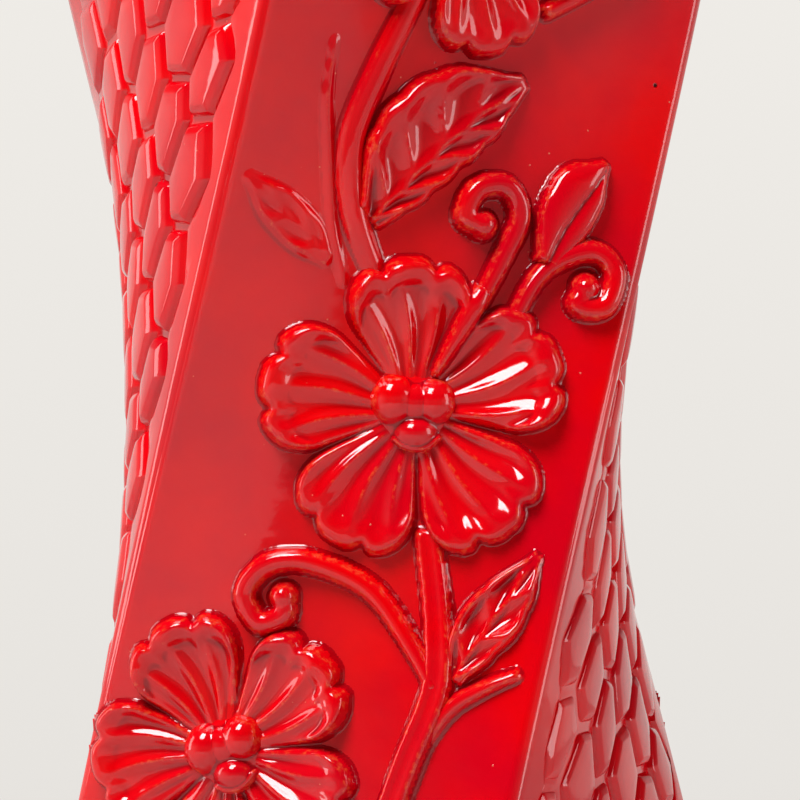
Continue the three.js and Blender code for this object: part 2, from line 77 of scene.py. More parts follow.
# The plated walls.
PLATE_WIDTH = 12.1
PLATE_HEIGHT = 21
PLATE_RISE = 2.5
PLATE_POINT = 2.3
PLATE_WANDER = 1.6
GROOVE_FLANK = 1.25
PLATE_MARGIN = 6.5
PLATE_END_BAND = 5.3
CORNER_CLEAR = 2.2
SHOULDER_INSET, SHOULDER_RISE = 1.5, 0.75
CROWN_INSET, CROWN_RISE = 1.6, 0.25


# ---- The body's law: how a level is turned, and how wide it is ----

def reach(z):
    return np.where(z < WAIST_HEIGHT, WAIST_HEIGHT, HEIGHT - WAIST_HEIGHT)


def flare(z):
    return (np.where(z < WAIST_HEIGHT, FOOT_SIDE, MOUTH_SIDE) - WAIST_SIDE) / 2


def lean(z):
    return HALF_TURN * np.sin(math.pi / 2 * (z - WAIST_HEIGHT) / reach(z))


def half_side(z):
    return WAIST_SIDE / 2 + flare(z) * (np.tan(lean(z)) / math.tan(HALF_TURN)) ** 2


def drift(z):
    """How far a straight line drawn up a wall drifts off the wall's centre line."""
    share = flare(z) / math.tan(HALF_TURN) ** 2
    return WAIST_SIDE / 2 * lean(z) + share * (np.tan(lean(z)) - lean(z))


def swell(wall, across, up, out):
    """The plated walls swell between their edges, most at the waist."""
    fade = (1 - ((up - WAIST_HEIGHT) / reach(up)) ** 2) ** 2
    return SWELLS[wall] * fade * (1 - (across / (half_side(up) + out)) ** 2)


def on_wall(wall, across, up, out):
    """Places on wall 0 (front) to 3, in metres."""
    angle = HALF_TURN + lean(up) + wall * math.pi / 2
    away = half_side(up) + out + swell(wall, across, up, out)
    x = across * np.cos(angle) + away * np.sin(angle)
    y = across * np.sin(angle) - away * np.cos(angle)
    return np.stack([x, y, up], axis=1) * MM


# ---- Working with the clay ----

def clear_hands():
    """Nothing selected, and out of edit mode."""
    if bpy.context.object and bpy.context.object.mode != "OBJECT":
        bpy.ops.object.mode_set(mode="OBJECT")
    bpy.ops.object.select_all(action="DESELECT")


def hold(piece):
    clear_hands()
    piece.hide_viewport = False
    piece.select_set(True)
    bpy.context.view_layer.objects.active = piece


def places(piece):
    spots = np.empty(len(piece.data.vertices) * 3)
    piece.data.vertices.foreach_get("co", spots)
    return spots.reshape(-1, 3)


def put(piece, spots):
    piece.data.vertices.foreach_set("co", np.asarray(spots, float).ravel())
    piece.data.update()


def edit(piece, kind="FACE"):
    """Into edit mode with everything selected."""
    hold(piece)
    bpy.ops.object.mode_set(mode="EDIT")
    bpy.ops.mesh.select_mode(type=kind)
    bpy.ops.mesh.select_all(action="SELECT")


def done():
    bpy.ops.object.mode_set(mode="OBJECT")


def choose(piece, kind, test):
    """Selects the vertices, edges or faces of a piece whose points pass the test."""
    done()
    mesh = piece.data
    spots = places(piece)
    for group in (mesh.vertices, mesh.edges, mesh.polygons):
        group.foreach_set("select", [False] * len(group))
    if kind == "VERT":
        mesh.vertices.foreach_set("select", [bool(test(spot[None])) for spot in spots])
    else:
        parts = mesh.edges if kind == "EDGE" else mesh.polygons
        parts.foreach_set("select", [bool(test(spots[list(part.vertices)])) for part in parts])
    bpy.ops.object.mode_set(mode="EDIT")
    bpy.ops.mesh.select_mode(type=kind)


def apply(piece, kind, **settings):
    hold(piece)
    modifier = piece.modifiers.new(kind.title(), kind)
    for name, value in settings.items():
        setattr(modifier, name, value)
    bpy.ops.object.modifier_apply(modifier=modifier.name)


def fitted(piece, node, paint, slot="red_glaze"):
    """A finished piece stands for its CAD node, and takes its paint."""
    piece.name = f"{node}_glazed" if slot == "red_glaze" else f"{node}_clay"
    piece.data.name = piece.name
    piece.data.materials.clear()
    piece.data.materials.append(paint)
    hold(piece)
    if node in [*WALLS, "rim_band", "floor_slab", "foot_ring"]:
        bpy.ops.object.shade_smooth_by_angle(angle=math.radians(35))
    else:
        bpy.ops.object.shade_smooth()
    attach(piece, "root")
    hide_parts(node)


def face_outwards(piece):
    edit(piece)
    bpy.ops.mesh.normals_make_consistent(inside=False)
    done()


# ---- Finishes ----

class Paint:
    """A material with short ways to add its nodes."""

    def __init__(self, name):
        self.material = bpy.data.materials.new(name)
        self.material.use_nodes = True
        self.tree = self.material.node_tree
        self.shader = self.tree.nodes["Principled BSDF"]
        self.object = self.node("ShaderNodeTexCoord").outputs["Object"]

    def node(self, kind, inputs=None, **settings):
        made = self.tree.nodes.new(kind)
        for name, value in settings.items():
            setattr(made, name, value)
        for name, value in (inputs or {}).items():
            if isinstance(value, bpy.types.NodeSocket):
                self.tree.links.new(value, made.inputs[name])
            else:
                made.inputs[name].default_value = value
        return made

    def noise(self, scale, detail=2, roughness=0.5):
        inputs = {"Vector": self.object, "Scale": scale, "Detail": detail, "Roughness": roughness}
        return self.node("ShaderNodeTexNoise", inputs).outputs["Fac"]

    def spots(self, scale, feature="F1"):
        inputs = {"Vector": self.object, "Scale": scale}
        return self.node("ShaderNodeTexVoronoi", inputs, feature=feature)

    def ramp(self, value, low, high):
        """0 below low, 1 above high."""
        inputs = {"Value": value, "From Min": low, "From Max": high}
        return self.node("ShaderNodeMapRange", inputs).outputs["Result"]

    def times(self, a, b):
        return self.node("ShaderNodeMath", {0: a, 1: b}, operation="MULTIPLY").outputs[0]

    def plus(self, a, b):
        return self.node("ShaderNodeMath", {0: a, 1: b}, operation="ADD").outputs[0]

    def mix(self, share, a, b):
        made = self.tree.nodes.new("ShaderNodeMix")
        made.data_type = "RGBA"
        for socket, value in (("Factor", share), ("A", a), ("B", b)):
            target = [s for s in made.inputs if s.name == socket and s.enabled][0]
            if isinstance(value, bpy.types.NodeSocket):
                self.tree.links.new(value, target)
            else:
                target.default_value = value
        return [s for s in made.outputs if s.enabled][0]

    def set(self, name, value):
        if isinstance(value, bpy.types.NodeSocket):
            self.tree.links.new(value, self.shader.inputs[name])
        else:
            self.shader.inputs[name].default_value = value

    def bump(self, height, distance, strength=1.0, under=None):
        inputs = {"Height": height, "Distance": distance, "Strength": strength}
        if under:
            inputs["Normal"] = under
        return self.node("ShaderNodeBump", inputs).outputs["Normal"]


def red_glaze():
    """Deep red glaze, thick and wet-looking, that breaks to orange where it runs thin."""
    paint = Paint("red_glaze")
    drifting = paint.noise(38, 3)
    deep, full = (0.60, 0.0, 0.008, 1), (0.76, 0.0, 0.002, 1)
    colour = paint.mix(paint.ramp(drifting, 0.35, 0.65), deep, full)
    worn = paint.node("ShaderNodeAttribute", attribute_name="thin_glaze").outputs["Fac"]
    crest = paint.ramp(worn, 0.72, 1.2)
    broken = paint.ramp(paint.noise(700, 3, 0.7), 0.50, 0.66)
    colour = paint.mix(paint.times(paint.times(crest, broken), 0.5), colour, (0.80, 0.12, 0.035, 1))
    pooled = paint.ramp(worn, -0.35, -1.1)
    colour = paint.mix(paint.times(pooled, 0.6), colour, (0.20, 0.0, 0.004, 1))
    fleck = paint.spots(420)
    fleck_size = paint.ramp(fleck.outputs["Distance"], 0.10, 0.05)
    fleck_rare = paint.ramp(paint.node("ShaderNodeSeparateColor",
                                       {"Color": fleck.outputs["Color"]}).outputs["Red"], 0.93, 0.94)
    flecks = paint.times(fleck_size, fleck_rare)
    colour = paint.mix(paint.times(flecks, 0.6), colour, (0.9, 0.28, 0.16, 1))
    pit = paint.spots(95)
    pit_size = paint.ramp(pit.outputs["Distance"], 0.055, 0.03)
    pit_rare = paint.ramp(paint.node("ShaderNodeSeparateColor",
                                     {"Color": pit.outputs["Color"]}).outputs["Green"], 0.955, 0.96)
    pits = paint.times(pit_size, pit_rare)
    colour = paint.mix(pits, colour, (0.03, 0.0, 0.0, 1))
    paint.set("Base Color", colour)
    paint.set("Roughness", paint.node("ShaderNodeMapRange", {
        "Value": paint.noise(260, 4), "From Min": 0.3, "From Max": 0.7,
        "To Min": 0.045, "To Max": 0.10}).outputs["Result"])
    paint.set("IOR", 1.52)
    swell = paint.bump(paint.noise(85, 2), 0.00016)
    skin = paint.bump(paint.noise(650, 2), 0.000012, under=swell)
    dots = paint.bump(paint.plus(flecks, paint.times(pits, -3.0)), 0.00006, under=skin)
    paint.set("Normal", dots)
    return paint.material


def bare_clay():
    """The fired clay of the foot, with the glaze stopping in a soft uneven line above it."""
    paint = Paint("bare_foot")
    grain = paint.noise(1400, 5, 0.7)
    body = paint.mix(paint.ramp(grain, 0.35, 0.7), (0.52, 0.43, 0.33, 1), (0.72, 0.64, 0.53, 1))
    grit = paint.ramp(paint.spots(800).outputs["Distance"], 0.16, 0.08)
    body = paint.mix(paint.times(grit, 0.5), body, (0.28, 0.20, 0.14, 1))
    level = paint.node("ShaderNodeSeparateXYZ", {"Vector": paint.object}).outputs["Z"]
    line = paint.plus(level, paint.times(paint.noise(60, 3), 0.0022))
    glazed = paint.ramp(line, 0.0052, 0.0056)
    edge = paint.times(paint.ramp(line, 0.0046, 0.0052), 0.6)
    stained = paint.mix(edge, body, (0.42, 0.14, 0.07, 1))
    paint.set("Base Color", paint.mix(glazed, stained, (0.58, 0.0, 0.004, 1)))
    paint.set("Roughness", paint.node("ShaderNodeMapRange", {
        "Value": glazed, "To Min": 0.85, "To Max": 0.06}).outputs["Result"])
    paint.set("IOR", 1.5)
    rough = paint.bump(grain, 0.00012)
    paint.set("Normal", paint.bump(glazed, 0.0003, under=rough))
    return paint.material


def floor_cloth():
    """The pale floor that the vase stands on."""
    paint = Paint("pale_floor")
    paint.set("Base Color", paint.mix(paint.noise(6, 3), (0.74, 0.725, 0.70, 1), (0.78, 0.765, 0.74, 1)))
    paint.set("Roughness", 0.7)
    return paint.material


GLAZE = red_glaze()
CLAY = bare_clay()


# ---- The four walls ----

ARC_COLUMNS = 6
FLAT_COLUMNS = 60
WALL_ROWS = 170


def grid(columns, rows):
    """A flat sheet of cells from 0 to 1 across and up."""
    clear_hands()
    bpy.ops.mesh.primitive_grid_add(x_subdivisions=columns, y_subdivisions=rows, size=1,
                                    location=(0, 0, 0))
    sheet = bpy.context.object
    edit(sheet)
    bpy.ops.transform.translate(value=(0.5, 0.5, 0))
    done()
    return sheet


def round_the_corner(column, columns, z):
    """Across and out for the columns that run round a wall's two rounded corners."""
    side = -1 if column < ARC_COLUMNS else 1
    steps = ARC_COLUMNS - column if side < 0 else column - (columns - ARC_COLUMNS)
    angle = math.pi / 4 * steps / ARC_COLUMNS
    across = side * (half_side(z) - CORNER + CORNER * math.sin(angle) - SEAM / 2 * (angle > 0.7))
    return across, CORNER * math.cos(angle) - CORNER


def close_slab(sheet):
    """Carries a wall's edges in to its inner face, and fills that with a net of cells."""
    columns = int((places(sheet)[:, 1] < WALL_BOTTOM + 0.01).sum()) - 1
    edit(sheet, "EDGE")
    bpy.ops.mesh.select_all(action="DESELECT")
    bpy.ops.mesh.select_non_manifold()
    bpy.ops.mesh.extrude_region_move(TRANSFORM_OT_translate={"value": (0, 0, -WALL)})
    bpy.ops.mesh.fill_grid(span=columns, use_interp_simple=True)
    done()
    spots = places(sheet)
    inner = spots[:, 2] < -WALL / 2
    z = np.clip(spots[inner, 1], WALL_BOTTOM, WALL_TOP)
    outer_half = half_side(z) - CORNER * (1 - math.sqrt(0.5))
    spots[inner, 0] *= (half_side(z) - WALL - SEAM / 2) / outer_half
    spots[inner, 1] = z
    spots[inner, 2] = -WALL
    put(sheet, spots)
    face_outwards(sheet)


def bend_to_wall(sheet, wall):
    spots = places(sheet)
    put(sheet, on_wall(wall, spots[:, 0], spots[:, 1], spots[:, 2]))


def smooth_wall(wall):
    """A smooth slab: a fine sheet, turned round its two corners, given its thickness."""
    columns, rows = FLAT_COLUMNS + 2 * ARC_COLUMNS, WALL_ROWS
    sheet = grid(columns, rows)
    spots = places(sheet)
    z = WALL_BOTTOM + (WALL_TOP - WALL_BOTTOM) * spots[:, 1]
    column = np.rint(spots[:, 0] * columns).astype(int)
    flat = (column >= ARC_COLUMNS) & (column <= columns - ARC_COLUMNS)
    share = (column - ARC_COLUMNS) / (columns - 2 * ARC_COLUMNS) * 2 - 1
    edge = half_side(z) - CORNER
    across, out = share * edge, np.zeros(len(z))
    for n in np.flatnonzero(~flat):
        across[n], out[n] = round_the_corner(column[n], columns, z[n])
    put(sheet, np.stack([across, z, out], axis=1))
    close_slab(sheet)
    bend_to_wall(sheet, wall)
    fitted(sheet, WALLS[wall], GLAZE)


def scatter(column, row, salt):
    """A repeatable number from 0 to 1 for a place in a grid."""
    wave = math.sin(column * 127.1 + row * 311.7 + salt * 74.7) * 43758.5453
    return wave - math.floor(wave)


PLATE_COLUMNS = round((WAIST_SIDE - 2 * (CORNER_CLEAR + PLATE_MARGIN)) / PLATE_WIDTH)
PLATES_LOW = WALL_BOTTOM + PLATE_END_BAND
PLATES_HIGH = WALL_TOP - PLATE_END_BAND
PLATE_HALVES = 2 * round((PLATES_HIGH - PLATES_LOW) / PLATE_HEIGHT)


def groove_corner(i, k):
    """Where the grooves between plates meet: column line i, half-plate step k."""
    point = 1 if (i + k) % 2 == 0 else -1
    inside = 0 < k < PLATE_HALVES
    rise = inside * (scatter(i, k, 1) - 0.5) * 2 * PLATE_WANDER
    z = PLATES_LOW + (PLATES_HIGH - PLATES_LOW) * k / PLATE_HALVES + rise
    field = float(half_side(z)) - CORNER_CLEAR - PLATE_MARGIN
    sway = (scatter(i, k, 2) - 0.5) * 2 * PLATE_WANDER
    return -field + 2 * field * i / PLATE_COLUMNS + point * PLATE_POINT * inside + sway, z


def plated_wall(wall):
    """A slab whose face is cut into columns of pointed plates, every other one half a plate up."""
    border = ARC_COLUMNS + 1
    columns, rows = PLATE_COLUMNS + 2 * border, PLATE_HALVES + 2
    sheet = grid(columns, rows)
    spots = places(sheet)
    for n, (x, y, _) in enumerate(spots.copy()):
        column, row = round(x * columns), round(y * rows)
        i = min(max(column - border, 0), PLATE_COLUMNS)
        k = min(max(row - 1, 0), PLATE_HALVES)
        across, z = groove_corner(i, k)
        z = WALL_BOTTOM if row == 0 else WALL_TOP if row == rows else z
        out = 0.0
        if column - border != i:
            across, out = round_the_corner(column, columns, z)
        spots[n] = across, z, out
    put(sheet, spots)
    corners = np.array([groove_corner(i, k) for i in range(PLATE_COLUMNS + 1)
                        for k in range(PLATE_HALVES + 1)])
    rungs = np.array([np.mean([groove_corner(i, k), groove_corner(i + 1, k)], axis=0)
                      for i in range(PLATE_COLUMNS) for k in range(1, PLATE_HALVES)
                      if (k - i) % 2])
    near = lambda point, marks: np.abs(marks - point[:2]).max(axis=1).min() < 0.01
    all_corners = lambda points: all(near(point, corners) for point in points)
    edit(sheet)
    choose(sheet, "EDGE", lambda points: near(points.mean(axis=0), rungs))
    bpy.ops.mesh.dissolve_edges(use_verts=False)
    choose(sheet, "FACE", lambda points: not all_corners(points))
    bpy.ops.mesh.inset(thickness=GROOVE_FLANK, depth=0, use_boundary=False)
    choose(sheet, "FACE", all_corners)
    bpy.ops.mesh.inset(thickness=GROOVE_FLANK, depth=0, use_individual=True)
    bpy.ops.mesh.inset(thickness=SHOULDER_INSET, depth=SHOULDER_RISE, use_individual=True)
    bpy.ops.mesh.inset(thickness=CROWN_INSET, depth=CROWN_RISE, use_individual=True)
    choose(sheet, "VERT", all_corners)
    bpy.ops.transform.translate(value=(0, 0, -PLATE_RISE))
    done()
    apply(sheet, "BEVEL", limit_method="ANGLE", angle_limit=math.radians(14), width=0.5, segments=2)
    apply(sheet, "SUBSURF", levels=1, render_levels=1, boundary_smooth="PRESERVE_CORNERS")
    close_slab(sheet)
    bend_to_wall(sheet, wall)
    fitted(sheet, WALLS[wall], GLAZE)


# ---- Floor, foot ring and rim band ----

def square(side, corner, level):
    """A flat square with rounded corners."""
    clear_hands()
    bpy.ops.mesh.primitive_plane_add(size=side, location=(0, 0, level))
    made = bpy.context.object
    bpy.ops.object.transform_apply()
    edit(made, "VERT")
    bpy.ops.mesh.bevel(offset=corner, segments=8, affect="VERTICES")
    bpy.ops.mesh.select_all(action="SELECT")
    return made


def square_ring(node, side, wall, low, high, eased, ease, paint, slot, turned=0.0):
    """A square with a smaller one taken out of it, raised, and its edges at one level rounded."""
    ring = square(side, CORNER, low)
    inner_side = side - 2 * wall
    inner_share = inner_side / side
    bpy.ops.mesh.select_mode(type="FACE")
    bpy.ops.mesh.inset(thickness=0.01)
    bpy.ops.transform.resize(value=(inner_share, inner_share, 1), center_override=(0, 0, low))
    bpy.ops.mesh.delete(type="FACE")
    bpy.ops.mesh.select_all(action="SELECT")
    bpy.ops.mesh.extrude_region_move(TRANSFORM_OT_translate={"value": (0, 0, high - low)})
    done()

    def at_edge(points):
        across = np.abs(points.mean(axis=0)[:2]).max()
        round_edge = min(abs(across - side / 2), abs(across - inner_side / 2)) < 1
        return round_edge and np.abs(points[:, 2] - eased).max() < 0.01

    edit(ring)
    choose(ring, "EDGE", at_edge)
    bpy.ops.mesh.bevel(offset=ease, segments=6)
    done()
    spots = places(ring)
    x, y = spots[:, 0].copy(), spots[:, 1].copy()
    spots[:, 0] = x * math.cos(turned) - y * math.sin(turned)
    spots[:, 1] = x * math.sin(turned) + y * math.cos(turned)
    put(ring, spots * MM)
    face_outwards(ring)
    fitted(ring, node, paint, slot)


def floor_slab():
    low, high = WALL_BOTTOM, WALL_BOTTOM + FLOOR
    slab = square(FOOT_SIDE - 2 * WALL - 1.0, INNER_CORNER, low)
    bpy.ops.mesh.extrude_region_move(TRANSFORM_OT_translate={"value": (0, 0, high - low)})
    done()
    face_outwards(slab)
    edit(slab)
    choose(slab, "FACE", lambda points: points[:, 2].min() > high - 0.01)
    for share, drop in ((0.93, 0), (0.9, -0.8), (0.8, -0.5)):
        bpy.ops.mesh.extrude_region_move(TRANSFORM_OT_translate={"value": (0, 0, drop)})
        bpy.ops.transform.resize(value=(share, share, 1), center_override=(0, 0, 0))
    done()
    put(slab, places(slab) * MM)
    fitted(slab, "floor_slab", GLAZE)


# ---- Forms of clay for the sprigs, laid flat ----

def laid(u, y, height=0.0):
    """A place in the drawing, across from the wall's middle and up from the waist, laid flat."""
    up = WAIST_HEIGHT + y
    return np.array([u + float(drift(up)), up, height])


def along(path, count):
    """A smooth line through the places of a path, as count + 1 places and their directions."""
    ends = [2 * path[0] - path[1], *path, 2 * path[-1] - path[-2]]
    spots, ways = [], []
    for share in np.linspace(0, len(path) - 1, count + 1):
        n = min(int(share), len(path) - 2)
        t = share - n
        a, b, c, d = ends[n:n + 4]
        spots.append(0.5 * (2 * b + (c - a) * t + (2 * a - 5 * b + 4 * c - d) * t ** 2
                            + (3 * b - a - 3 * c + d) * t ** 3))
        way = (c - a) + 2 * (2 * a - 5 * b + 4 * c - d) * t + 3 * (3 * b - a - 3 * c + d) * t ** 2
        ways.append(way / np.linalg.norm(way))
    return np.array(spots), np.array(ways)


def spread(values, count):
    """A list of values stretched to count + 1 of them."""
    return np.interp(np.linspace(0, len(values) - 1, count + 1), range(len(values)), values)


def roll(path, widths, tops):
    """A rope of clay along a line, as wide and as high at each place as given."""
    count = len(path) - 1
    widths, tops = spread(widths, count), spread(tops, count)
    clear_hands()
    bpy.ops.curve.primitive_bezier_curve_add()
    rope = bpy.context.object
    rope.data.splines.clear()
    line = rope.data.splines.new("BEZIER")
    line.bezier_points.add(count)
    for point, place, width, top in zip(line.bezier_points, path, widths, tops):
        point.co = place[0], place[1], top - width / 2
        point.radius = width / 2
        point.handle_left_type = point.handle_right_type = "AUTO"
    line.resolution_u = 5
    rope.data.bevel_depth = 1
    rope.data.bevel_resolution = 4
    rope.data.use_fill_caps = True
    bpy.ops.object.convert(target="MESH")
    return bpy.context.object


def ball(place, wide, tall, top):
    """A pressed ball of clay."""
    clear_hands()
    bpy.ops.mesh.primitive_uv_sphere_add(segments=32, ring_count=20, radius=1)
    made = bpy.context.object
    edit(made)
    bpy.ops.transform.resize(value=(wide / 2, tall / 2, top))
    bpy.ops.transform.translate(value=(place[0], place[1], 0))
    done()
    return made


def relief(columns, rows, place, rise):
    """A skin of clay: its places and its heights follow from the shares across (-1 to 1) and along."""
    skin = grid(columns, rows)
    spots = places(skin)
    across, far = spots[:, 0] * 2 - 1, spots[:, 1]
    x, y = place(across, far)
    put(skin, np.stack([x, y, rise(across, far)], axis=1))
    return skin


def rounded(past):
    """How high a thick edge still stands as it rolls over, from past 0 to past 1."""
    return 0.3 + 0.7 * np.sqrt(1 - np.clip(past, 0, 1) ** 2)


def crests(turns):
    """Sharp crests at whole numbers with round hollows between them, from 0 to 1."""
    return 1 - np.abs(np.sin(math.pi * turns))


def feather(sheet):
    """Sinks the sheet a hair into the wall, trims what is under it, and closes it beneath."""
    sink, under = 0.05, -0.4
    spots = places(sheet)
    spots[:, 2] -= sink
    put(sheet, spots)
    edit(sheet)
    choose(sheet, "FACE", lambda points: points[:, 2].max() < -sink / 2)
    bpy.ops.mesh.delete(type="FACE")
    bpy.ops.mesh.select_all(action="SELECT")
    bpy.ops.mesh.delete_loose()
    bpy.ops.mesh.select_all(action="SELECT")
    bpy.ops.mesh.extrude_region_move()
    bpy.ops.transform.resize(value=(1, 1, 0), center_override=(0, 0, under))
    done()
    face_outwards(sheet)


def glaze_over(node, forms, pitch=0.45, soften=6, margin=3.0):
    """Lays a fine sheet of glaze over the forms of one sprig, on the front wall and on the back."""
    clear_hands()
    for form in forms:
        form.select_set(True)
    bpy.context.view_layer.objects.active = forms[0]
    if len(forms) > 1:
        bpy.ops.object.join()
    clay = bpy.context.object
    spots = places(clay)
    low, high = spots.min(axis=0) - margin, spots.max(axis=0) + margin
    clear_hands()
    bpy.ops.mesh.primitive_plane_add(size=1)
    ground = bpy.context.object
    put(ground, [(low[0] - 1, low[1] - 1, 0), (high[0] + 1, low[1] - 1, 0),
                 (low[0] - 1, high[1] + 1, 0), (high[0] + 1, high[1] + 1, 0)])
    clay.select_set(True)
    bpy.context.view_layer.objects.active = clay
    bpy.ops.object.join()
    columns = int((high[0] - low[0]) / pitch)
    rows = int((high[1] - low[1]) / pitch)
    sheet = grid(columns, rows)
    edit(sheet)
    bpy.ops.transform.resize(value=(columns * pitch, rows * pitch, 1), center_override=(0, 0, 0))
    bpy.ops.transform.translate(value=(low[0], low[1], 12))
    done()
    apply(sheet, "SHRINKWRAP", target=clay, wrap_method="PROJECT", use_project_z=True,
          use_negative_direction=True, use_positive_direction=False)
    apply(sheet, "SMOOTH", factor=0.5, iterations=soften, use_x=False, use_y=False)
    bpy.data.objects.remove(clay)
    mark_thin_glaze(sheet, columns, rows, pitch)
    feather(sheet)
    flat = places(sheet)
    across = flat[:, 0] - drift(flat[:, 1])
    hold(sheet)
    bpy.ops.object.duplicate()
    back = bpy.context.object
    for piece, wall, side in ((sheet, 0, "front"), (back, 2, "back")):
        put(piece, on_wall(wall, across, flat[:, 1], flat[:, 2]))
        fitted(piece, f"{side}_{node}", GLAZE)


def mark_thin_glaze(sheet, columns, rows, pitch):
    """Glaze runs off the crests and gathers in the hollows: marks how much, from the bend there."""
    height = places(sheet)[:, 2].reshape(rows + 1, columns + 1)
    bend = np.zeros_like(height)
    bend[1:-1, 1:-1] = (4 * height[1:-1, 1:-1] - height[:-2, 1:-1] - height[2:, 1:-1]
                        - height[1:-1, :-2] - height[1:-1, 2:]) / pitch ** 2
    marks = sheet.data.attributes.new("thin_glaze", "FLOAT", "POINT")
    marks.data.foreach_set("value", (bend.ravel() * 0.8).astype(np.float32))


# ---- The flowers ----

def polar(centre, degrees, distance):
    angle = math.radians(degrees)
    return centre + np.array([math.cos(angle), math.sin(angle), 0.0]) * distance


PETALS = 5
PETAL_HALF = 35.0
PETAL_LOBES = 3
PETAL_START = 0.2
PETAL_EDGE = 0.12


def petal_edge(radius, share):
    """How far a petal reaches at a share of its half-width: round, with dents between lobes."""
    dent = (1 - np.abs(np.cos(PETAL_LOBES * math.pi / 2 * share))) ** 2
    return radius * (1 - 0.24 * np.abs(share) ** 3.2 - 0.075 * dent)


def petal(centre, aim, radius, number):
    """One petal climbs from the middle to a thick rolled rim, with long folds running out to it."""
    chance = lambda salt: scatter(number, radius, salt) - 0.5
    aim += 4 * chance(1)
    reach_out = radius * (1 + 0.03 * chance(2))
    curl = 0.55 + 0.45 * math.sin(math.radians(aim))
    fold_count = 1.75 + 0.3 * chance(3)
    sway = 0.4 * chance(4)

    def place(across, far):
        out = PETAL_START + (1 - PETAL_START) * far
        angle = np.radians(aim + PETAL_HALF * across * (1 - 0.05 * out))
        away = out * petal_edge(reach_out, across)
        return centre[0] + np.cos(angle) * away, centre[1] + np.sin(angle) * away

    def rise(across, far):
        climb = 1.4 + 2.5 * far ** 1.3
        middle = np.sin(math.pi * np.clip(far * 1.12, 0, 1)) ** 0.6
        folds = crests(fold_count * across + sway + 0.12 * np.sin(5 * far))
        waves = 1 + 0.25 * np.cos(9 * across + sway)
        rim = curl * waves * np.exp(-(np.abs(far - 0.87) / 0.095) ** 4)
        lip = 0.35 * np.exp(-((np.abs(across) - 0.84) / 0.1) ** 2)
        height = climb + (1.75 * folds - 0.65) * middle + 1.35 * rim + lip - 0.7 * curl * middle
        for share in (far, np.abs(across)):
            height = height * rounded((share - 1 + PETAL_EDGE) / PETAL_EDGE)
        return height

    return relief(56, 36, place, rise)


def flower(node, at, radius, spin, fold=None):
    centre = laid(*at)
    forms = []
    for number in range(PETALS):
        forms.append(petal(centre, spin + number * 360 / PETALS, radius, number))
    forms.append(ball(centre, 0.62 * radius, 0.62 * radius, 1.5))
    if fold is not None:
        crease = [polar(centre, fold, radius * far) for far in np.linspace(0.26, 0.90, 6)]
        forms.append(roll(crease, [1.6, 2.6, 3.4, 4.2, 4.8, 3.8], [3.0, 3.9, 4.6, 5.2, 5.6, 4.8]))
    glaze_over(f"{node}_petals", forms, pitch=0.42, soften=5)


def boss(node, at, spin):
    """The middle of a flower: two joined lobes over a ball, with a thin roll under it."""
    centre = laid(*at)
    seat = lambda x, y: centre + np.array([
        x * math.cos(spin) - y * math.sin(spin), x * math.sin(spin) + y * math.cos(spin), 0])
    forms = [
        ball(seat(0, 0), 15.4, 15.0, 3.0),
        ball(seat(-4.0, 2.1), 9.8, 10.8, 5.4),
        ball(seat(4.2, 1.7), 9.0, 9.8, 5.1),
        ball(seat(0, 1.6), 9.5, 8.6, 4.6),
        ball(seat(0.3, -4.5), 9.4, 7.4, 4.8),
        roll([seat(-4.4, -5.6), seat(-1.6, -7.4), seat(2.2, -7.6), seat(5.4, -5.4)],
             [1.2, 1.5, 1.5, 1.2], [3.0, 3.4, 3.4, 3.0]),
    ]
    glaze_over(f"{node}_boss", forms, pitch=0.36, soften=5, margin=1.5)


# ---- Stems, tendrils, leaves and buds ----

STEM_STEPS = 24
TENDRIL_STEPS = 40
LEAF_STEPS = 48
LEAF_COLUMNS = 32
LOW_RELIEF = 2


def sideways(ways):
    """The directions at right angles to a line's, to its left."""
    return np.stack([-ways[:, 1], ways[:, 0], 0 * ways[:, 0]], axis=1)


def stem(node, path, widths, height, fluted=False):
    line, ways = along([laid(*spot) for spot in path], STEM_STEPS)
    half = spread(widths, STEM_STEPS)
    tops = [height * 0.5, height, height, height, height, height * 0.8]
    forms = [roll(line, 2 * half, tops)]
    for hand in (-1, 1) if fluted else ():
        aside = line + sideways(ways) * hand * half[:, None] * 0.62
        forms.append(roll(aside, half * 0.95, [top + 0.35 for top in tops]))
    glaze_over(node, forms, soften=7 if height > LOW_RELIEF else 12)


def tendril(node, path, width=4.9, height=4.0):
    line, _ = along([laid(*spot) for spot in path], TENDRIL_STEPS)
    widths = [width * 0.72, width * 0.95, width, width, width * 0.96]
    forms = [
        roll(line, widths, [height * 0.8, height, height]),
        ball(line[-1], width * 1.3, width * 1.3, height * 1.12),
    ]
    glaze_over(node, forms, soften=5)


def blade(path, widths, teeth, depth=0.13):
    """The middle line of a leaf and both its edges, scalloped."""
    count = LEAF_STEPS
    line, ways = along([laid(*spot) for spot in path], count)
    sides = []
    for hand in (1, -1):
        wide = spread([w[0] if hand > 0 else w[-1] for w in widths], count)
        wide = np.convolve(np.pad(wide, 5, mode="edge"), np.full(11, 1 / 11), "valid")
        scallops = np.abs(np.sin(math.pi * np.linspace(0, teeth, count + 1))) - 0.5
        saw = 1 + depth * scallops * (wide > 2) * (0.3 if hand > 0 else 1)
        sides.append(line + sideways(ways) * hand * (wide * saw)[:, None])
    return line, sides[0], sides[1]


def between(line, left, right):
    """Places for a skin that spans from a leaf's middle line out to both its edges."""
    def place(across, far):
        n = np.rint(far * LEAF_STEPS).astype(int)
        edge = np.where((across < 0)[:, None], left[n], right[n])
        spots = line[n] + (edge - line[n]) * np.abs(across)[:, None]
        return spots[:, 0], spots[:, 1]
    return place


